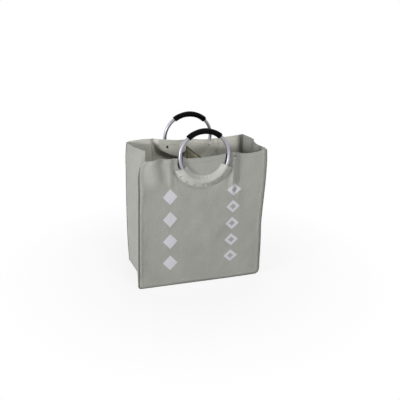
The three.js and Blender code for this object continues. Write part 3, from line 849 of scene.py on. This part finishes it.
def swept_tube(path, across, radius, sides, name, finish):
    """A round section carried along a path: one arm of it points across, the other is the cross
    product of the path's direction and that. Both ends are closed by a dome of shrinking rings."""
    dome = np.linspace(0.0, math.pi / 2, 5)[1:]
    ahead = unit(np.gradient(path, axis=0))
    shrink = np.concatenate([np.cos(dome)[::-1], np.ones(len(path)), np.cos(dome)])
    push = np.concatenate([-np.sin(dome)[::-1] * 0.6, np.zeros(len(path)), np.sin(dome) * 0.6])
    pick = np.concatenate([np.zeros(4, int), np.arange(len(path)), np.full(4, len(path) - 1)])
    radius = np.broadcast_to(radius, (len(path),))[pick] * np.maximum(shrink, 0.02)
    centre = path[pick] + ahead[pick] * (push * np.broadcast_to(radius.max(), push.shape))[:, None]
    side_arm = np.broadcast_to(across, path.shape)[pick]
    up_arm = np.cross(ahead[pick], side_arm)
    round_it = np.linspace(0.0, 2 * math.pi, sides, endpoint=False)
    points = (centre[:, None] + radius[:, None, None] * (
        np.cos(round_it)[None, :, None] * side_arm[:, None]
        + np.sin(round_it)[None, :, None] * up_arm[:, None]))
    index = np.arange(len(centre) * sides).reshape(len(centre), sides)
    faces = round_faces(index).tolist() + [index[0, ::-1].tolist(), index[-1].tolist()]
    flat = np.stack(np.broadcast_arrays(run_along(centre)[:, None], (round_it * PIPING_RADIUS)[None, :]), -1)
    return add_piece(name, points, faces, finish, flat, crisp=70.0)


# Painted shade: the cord is coloured dark for the shadow along the seam.
dark_cord = woven("dark_cord", linear(112, 114, 107), roughness=0.7, weave=0.0008, depth=0.4)
for side in (FRONT, BACK):
    x, z = seam_line(side)
    fitted_x, fitted_z = fitted(side, x, z)
    seam_y = side["facing"] * (SEAM_Y + bulge(side, x, z))
    path = np.stack([fitted_x, seam_y, np.maximum(fitted_z, 2.4)], 1)
    length = np.concatenate([[0.0], np.cumsum(np.hypot(np.diff(x), np.diff(z)))])
    radius = PIPING_RADIUS + 0.10 * np.sin(length / 3.7) + 0.08 * np.sin(length / 11.3 + 1.0)
    piping = swept_tube(path, np.array((0.0, 1.0, 0.0)), radius, 14, side["name"] + "_cord", dark_cord)
    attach(piping, "bag_" + side["name"])
    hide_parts(side["name"] + "_piping")


# Gussets: the side walls, cloth with a crease pressed down their middle so that the bag folds
# flat. They stand a little inwards at the crease, the left one most at the rim. Each is one
# cloth in pieces: seam edge, middle and seam edge on the left; middle and back seam edge on the right.
GUSSET_LOW = 18.0
GUSSET_THICKNESS = 1.2
GUSSET_HEM = 0.7  # how far its hem stands out, on either face
STRIP_END = 86.0  # the seam edges reach in to here, from the middle of the bag
LEFT_IN = [(0, 13.0), (120, 14.0), (260, 17.0), (380, 22.0), (440, 27.0), (480, 30.0)]
RIGHT_IN = [(0, 13.0), (150, 14.0), (300, 12.0), (400, 6.0), (480, 0.0)]
RIGHT_TOP = [(-107, 0.0), (-84, 2.0), (-62, -1.5), (-35, -6.0), (-10, -3.6), (6, -1.0), (16, 3.0),
             (26, 9.0), (38, 9.6), (56, 8.6), (75, 6.2), (92, 2.6), (107, 0.0)]  # outwards, at the rim


def gusset_wall(sign, y, z):
    """Outer face of a gusset. Its two seams follow the panels' outlines; between them it goes in
    by a depth that grows with height, along a bent line whose corner is the crease."""
    at_seam = np.full(z.shape, sign * SEAM_X)
    edge = [fitted(side, at_seam, z) for side in (FRONT, BACK)]
    share = (y / SEAM_Y + 1.0) / 2.0
    moved = bulge(BACK, at_seam, z) * share - bulge(FRONT, at_seam, z) * (1.0 - share)
    x = edge[0][0] * (1.0 - share) + edge[1][0] * share
    high = edge[0][1] * (1.0 - share) + edge[1][1] * share
    crease = np.interp(z, [0.0, 300.0, BAG_HEIGHT], [3.0, -4.0, -18.0]) if sign < 0 else 0.0 * z
    off = np.where(y < crease, (y + SEAM_Y) / (crease + SEAM_Y), (SEAM_Y - y) / (SEAM_Y - crease))
    off = np.clip(off, 0.0, 1.0)
    up = (z / BAG_HEIGHT) ** 3
    knots, seed, wave = (LEFT_IN, 31, 120.0) if sign < 0 else (RIGHT_IN, 37, 110.0)
    bent = np.where(y > crease, off ** (1.0 + 1.4 * up), off) if sign < 0 else off
    bent = bent - 0.035 * np.exp(-(((1.0 - off) / 0.06) ** 2))
    x = x - sign * through(knots, z) * bent
    if sign < 0:
        high = high + 4.0 * off * up
    else:
        x = x + through(RIGHT_TOP, y) * up
    x = x + 1.2 * soft_step(0.0, 0.25, off) * ripples(y, z, seed, wave) * (1.0 - 0.5 * off)
    seam = soft_step(0.1, 0.0, off)
    x = x + sign * (GUSSET_HEM * hem_step(z) * (1.0 - seam) - 0.4 * seam)
    return np.stack([x, y + moved, high], -1)


for sign, name in ((-1.0, "left"), (1.0, "right")):
    across = spaced(-SEAM_Y + CLOTH_START, SEAM_Y - CLOTH_START, 2.3, [(0.0, 16.0, 0.55)])
    for limit in (-STRIP_END, STRIP_END):
        across[np.argmin(np.abs(across - limit))] = limit
    heights = spaced(GUSSET_LOW, BAG_HEIGHT, 2.6, [(HEM_LINE, 5.0, 0.35)])
    y, z = np.meshgrid(across, heights)
    outer = gusset_wall(sign, y, z)
    inner = set_off(outer, sign * GUSSET_THICKNESS)
    inner[:, :, 0] -= sign * GUSSET_HEM * (z > HEM_LINE)
    flat = np.stack([y, z], -1)
    first, last = np.argmin(np.abs(across + STRIP_END)), np.argmin(np.abs(across - STRIP_END))
    cuts = {"front_edge": (0, first), "middle": (first, last), "back_edge": (last, len(across) - 1)}
    if sign > 0:
        cuts = {"middle": (0, last), "back_edge": (last, len(across) - 1)}
    for part, (start, end) in cuts.items():
        chosen = slice(start, end + 1)
        piece = cloth_piece(f"{name}_gusset_{part}", outer[:, chosen], inner[:, chosen], flat[:, chosen],
                            grey_cloth, turned=sign < 0)
        if part == "middle":
            reach = 0.022 if sign < 0 else 0.055
            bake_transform(piece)
            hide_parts(f"{name}_gusset_front", f"{name}_gusset_back")
        elif part == "front_edge":
            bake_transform(piece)
        else:
            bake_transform(piece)
        wide = (across[end] - across[start]) * 0.001


# Bottom: a strip of the same cloth between the two big panels. It lies on the floor and curls up
# at both ends to the lower edges of the gussets.
BOTTOM_THICKNESS = 1.5
WALL_TOP = GUSSET_LOW + 1.5  # where its ends stop, just above the gussets' lower edges
across = spaced(-SEAM_Y + CLOTH_START, SEAM_Y - CLOTH_START, 4.0, [(0.0, 10.0, 0.6)])
share = (across / SEAM_Y + 1.0) / 2.0
low_edge = np.full(across.shape, WALL_TOP)
left_x = gusset_wall(-1.0, across, low_edge)[:, 0]
right_x = gusset_wall(1.0, across, low_edge)[:, 0]
corner = {end: FRONT["corners"][end] * (1 - share) + BACK["corners"][end] * share for end in (0, 1)}
bend = np.linspace(0.0, math.pi / 2, 11)


def bottom_face(lift):
    """The strip's profile from gusset to gusset at each depth: up along a wall, a quarter circle,
    along the floor, a quarter circle and up; lifted by its thickness for the inner face."""
    rows = []
    for end, wall, way in ((0, left_x, 1.0), (1, right_x, -1.0)):
        radius = corner[end][:, None]
        upright = np.linspace(1.0, 0.0, 5)[None, :-1] * (WALL_TOP - radius - 2.5) + radius + 2.5
        x_up = wall[:, None] + way * lift + 0 * upright
        x_bend = wall[:, None] + way * (radius - (radius - lift) * np.cos(bend))
        z_bend = radius - (radius - lift) * np.sin(bend)
        z_up = np.maximum(upright, radius)
        rows.append((np.concatenate([x_up, x_bend], 1), np.concatenate([z_up, z_bend], 1)))
    start_x, end_x = rows[0][0][:, -1:], rows[1][0][:, -1:]
    along = np.linspace(0.0, 1.0, 92)[None, 1:-1]
    x = np.concatenate([rows[0][0], start_x + (end_x - start_x) * along, rows[1][0][:, ::-1]], 1)
    flat_z = np.full((len(across), 90), lift)
    z = np.concatenate([rows[0][1], flat_z, rows[1][1][:, ::-1]], 1)
    y = np.broadcast_to(across[:, None], x.shape)
    return np.stack([x, y, z + 0.35], -1)


outer, inner = bottom_face(0.0), bottom_face(BOTTOM_THICKNESS)
on_floor = soft_step(200.0, 170.0, np.abs(inner[..., 0]))
inner[..., 2] += 0.5 * np.abs(ripples(inner[..., 0], inner[..., 1], 41, 70.0)) * on_floor
flat = np.stack([outer[..., 0], outer[..., 1]], -1)
bottom = cloth_piece("bottom_cloth", outer, inner, flat, grey_cloth, turned=True)
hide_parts("bottom_panel")
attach(bottom, "bag_back")
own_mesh(bottom)


# Divider: a wall of thinner olive cloth between the front and back panels that makes the two
# bins, and the dark tape folded over its top edge. It hangs slack, so it sways a little.
DIVIDER_REACH = 108.0
DIVIDER_LOW = 2.2
DIVIDER_BACK = 450.0
DIVIDER_FRONT = 466.0
DIVIDER_HEIGHT = 455.0  # of its cloth, for the weave
TAPE_WIDTH = 5.0
olive_cloth = woven("olive_cloth", linear(218, 211, 180), roughness=0.8, sheen=0.25, weave=0.0009)
dark_tape = woven("dark_tape", linear(92, 88, 70), roughness=0.75, weave=0.0007, depth=0.35)


def divider_wall(y, up):
    """The wall's middle surface: up is 0 at its foot and 1 at its top edge, which falls from front
    to back and sags between; it sways out of its plane with height and depth."""
    share = (y / DIVIDER_REACH + 1.0) / 2.0
    top = DIVIDER_FRONT * (1 - share) + DIVIDER_BACK * share - 1.5 * np.sin(math.pi * share)
    foot = np.where(np.abs(y) > SEAM_Y - 5.0, 6.0, DIVIDER_LOW)
    z = foot + (top - foot) * up
    sway = np.sin(math.pi * share) * (1.0 - up**4) * (5.0 * np.sin(4.2 * share + 3.0 * up) - 2.0)
    return np.stack([sway, y + 0 * z, z], -1)


y, up = np.meshgrid(spaced(-DIVIDER_REACH, DIVIDER_REACH, 3.2), np.linspace(0.0, 1.0, 130))
middle = divider_wall(y, up)
flat = np.stack([y, up * DIVIDER_HEIGHT], -1)
shift = np.array((0.6, 0.0, 0.0))
divider = cloth_piece("divider_cloth", middle - shift, middle + shift, flat, olive_cloth, turned=True)
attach(divider, "bag_back")
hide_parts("divider")
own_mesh(divider)

y = spaced(-107.2, 107.2, 3.2)
top_edge = divider_wall(y, np.ones(y.shape))
below_edge = divider_wall(y, np.full(y.shape, 1.0 - TAPE_WIDTH / DIVIDER_HEIGHT))
PROFILE = np.array([(-1.7, 0.0), (-1.75, 0.5), (-1.3, 1.05), (0.0, 1.3), (1.3, 1.05), (1.75, 0.5),
                    (1.7, 0.0)])  # the tape's outer face, (sideways, up)
wide, rise = PROFILE.T
fold = np.where((rise > 0.01)[None, :, None], top_edge[:, None], below_edge[:, None])
tape_out = fold + np.stack([wide, 0 * wide, rise], -1)
tape_in = fold + np.stack([wide * 0.5, 0 * wide, np.minimum(rise, 0.45)], -1)
flat = np.stack(np.broadcast_arrays(y[:, None], np.arange(len(PROFILE))[None, :] * 3.0), -1)
tape = cloth_piece("divider_tape", tape_out, tape_in, flat, dark_tape, turned=True)
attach(tape, "bag_back")
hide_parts("divider_binding")
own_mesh(tape)


# Printed marks: a column of plain diamonds below each bin, filled for one bin and open for the
# other, in thick pale ink that follows the cloth.
pale_ink = speckled("pale_ink", 320.0, {"Detail": 4.0, "Roughness": 0.7}, linear(206, 206, 214),
                    linear(226, 226, 232), 0.2, {"Roughness": 0.5, "Specular IOR Level": 0.4})
COLUMNS = {
    "left_marks": {"x": (-116.0, -117.0), "z": (90.0, 340.0), "count": 4, "half": (25.0, 29.0), "open": 0.0},
    "right_marks": {"x": (106.0, 112.0), "z": (92.0, 346.0), "count": 5, "half": (26.0, 24.0), "open": 0.46},
}
for name, facts in COLUMNS.items():
    p, q = np.meshgrid(np.linspace(-1, 1, 33), np.linspace(-1, 1, 33))
    middle = (p[1:, 1:] + p[:-1, :-1]) / 2, (q[1:, 1:] + q[:-1, :-1]) / 2
    keep = np.maximum(np.abs(middle[0]), np.abs(middle[1])) > facts["open"]
    points, faces, count = [], [], 0
    for i in range(facts["count"]):
        share = i / (facts["count"] - 1)
        x = facts["x"][0] * (1 - share) + facts["x"][1] * share + facts["half"][0] * (p - q) / 2
        z = facts["z"][0] * (1 - share) + facts["z"][1] * share + facts["half"][1] * (p + q) / 2
        cells = cloth_faces(keep, turned=False)
        both = np.concatenate([outer_face(FRONT, x, z, 0.32).reshape(-1, 3),
                               outer_face(FRONT, x, z, 0.06).reshape(-1, 3)])
        used, cells = np.unique(cells, return_inverse=True)
        points.append(both[used])
        faces.append(cells.reshape(-1, 4) + count)
        count += len(used)
    marks = add_piece(name, np.concatenate(points), np.concatenate(faces), pale_ink)
    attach(marks, "bag_front")


# Stitching: pale grey thread along the hems, round both edges of each handle patch and beside the
# piping. Each stitch is a short rounded rod, half sunk into the cloth.
thread = speckled("thread", 1500.0, {"Detail": 2.0}, linear(128, 130, 122), linear(176, 177, 170),
                  0.4, {"Roughness": 0.6, "Sheen Weight": 0.2})


def stitched(name, lines, body, pitch=4.2, length=3.0, thickness=0.42):
    """Stitches along lines of (points, outward direction): each is a rod with a six-sided section
    that shrinks at its ends, carried to its place on the line by its heading."""
    points, faces = [], []
    taper = np.array([(-0.5, 0.25), (-0.36, 0.9), (0.0, 1.0), (0.36, 0.9), (0.5, 0.25)])
    round_it = np.linspace(0.0, 2 * math.pi, 6, endpoint=False)
    index = np.arange(30).reshape(5, 6)  # rings along the rod, points round it
    rods = round_faces(index)
    total = 0
    ends = []
    for line, outwards in lines:
        run = run_along(line)
        at = np.arange(pitch / 2, run[-1], pitch)
        centre = np.stack([np.interp(at, run, line[:, k]) for k in range(3)], 1)
        ahead = unit(np.stack([np.interp(at + 0.8, run, line[:, k]) for k in range(3)], 1) - centre)
        side_arm = unit(np.cross(ahead, np.broadcast_to(outwards, centre.shape)))
        out = np.cross(side_arm, ahead)
        rod = (centre[:, None, None] + length * taper[None, :, 0, None, None] * ahead[:, None, None]
               + thickness * taper[None, :, 1, None, None] * (
                   np.cos(round_it)[None, None, :, None] * side_arm[:, None, None]
                   + np.sin(round_it)[None, None, :, None] * out[:, None, None]))
        shift = np.arange(len(at)) * index.size + total
        faces += (rods[None] + shift[:, None, None]).reshape(-1, 4).tolist()
        ends += (index[0, ::-1] + shift[:, None]).tolist() + (index[4] + shift[:, None]).tolist()
        points.append(rod.reshape(-1, 3))
        total += len(at) * index.size
    piece = add_piece(name, np.concatenate(points), faces + ends, thread, crisp=80.0)
    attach(piece, body)
    return piece


for side in (FRONT, BACK):
    ring_x, ring_z = side["ring"]
    out = np.array((0.0, side["facing"], 0.0))
    lines = []
    gap = side["slot"][1] + 2.5
    for height in (HEM_LINE + 2.6, BAG_HEIGHT - 3.0):
        drop = ring_z - height
        left_of = math.sqrt((RING_RADIUS + gap) ** 2 - drop**2)
        right_of = math.sqrt((RING_RADIUS - gap) ** 2 - drop**2)
        for start, end in ((-216.0, ring_x - left_of), (ring_x - right_of, ring_x + right_of),
                           (ring_x + left_of, 216.0)):
            x = np.linspace(start, end, 160)
            lines.append((outer_face(side, x, np.full(x.shape, height), 0.05), out))
    x, z = seam_line(side)
    inset = np.clip(np.abs(x), None, SEAM_X - 6.5) * np.sign(x)
    lines.append((outer_face(side, inset, np.maximum(z, 9.0), 0.1), out))
    turn = np.linspace(-math.pi + MOUTH, -MOUTH, 260)
    for reach in (RING_RADIUS - PATCH_SEAM[0] - 1.6, RING_RADIUS + PATCH_SEAM[1] + 1.6):
        x, z = ring_x + reach * np.cos(turn), ring_z + reach * np.sin(turn)
        lines.append((on_side(side, x, 1.75 + bulge(side, x, z) + swell(side, x, z), z), out))
    stitched(side["name"] + "_stitches", lines, "bag_" + side["name"])


# Bar tacks: a close patch of thread on the inner face at the lower end of each opening in the back
# panel, black at the left and grey at the right, keeps it from tearing further. The black of the
# left one is painted shade, for the dark open end of the slit there.
shade_black_thread = speckled("shade_black_thread", 1500.0, {"Detail": 2.0}, (0.006, 0.006, 0.006),
                        (0.022, 0.022, 0.02), 0.4, {"Roughness": 0.7})
ring_x, ring_z = BACK["ring"]
for way, name, half, colour in ((-1.0, "left_bar_tack", 4.6, shade_black_thread),
                                (1.0, "right_bar_tack", 3.4, thread)):
    tack_x = ring_x + way * RING_RADIUS * math.cos(SLOT_END)
    tack_z = ring_z - RING_RADIUS * math.sin(SLOT_END) - 1.0
    lines = []
    for row in np.arange(-half, half + 0.01, 0.55):
        wide = math.sqrt(max(half**2 - row**2, 1.0))
        x = np.linspace(tack_x - wide, tack_x + wide, 12)
        z = np.full(x.shape, tack_z + row)
        lines.append((outer_face(BACK, x, z, -PANEL_THICKNESS - 0.1), np.array((0.0, -1.0, 0.0))))
    tack = stitched(name, lines, "bag_back", pitch=2.0, length=2.4, thickness=0.42)
    tack.data.materials[0] = colour
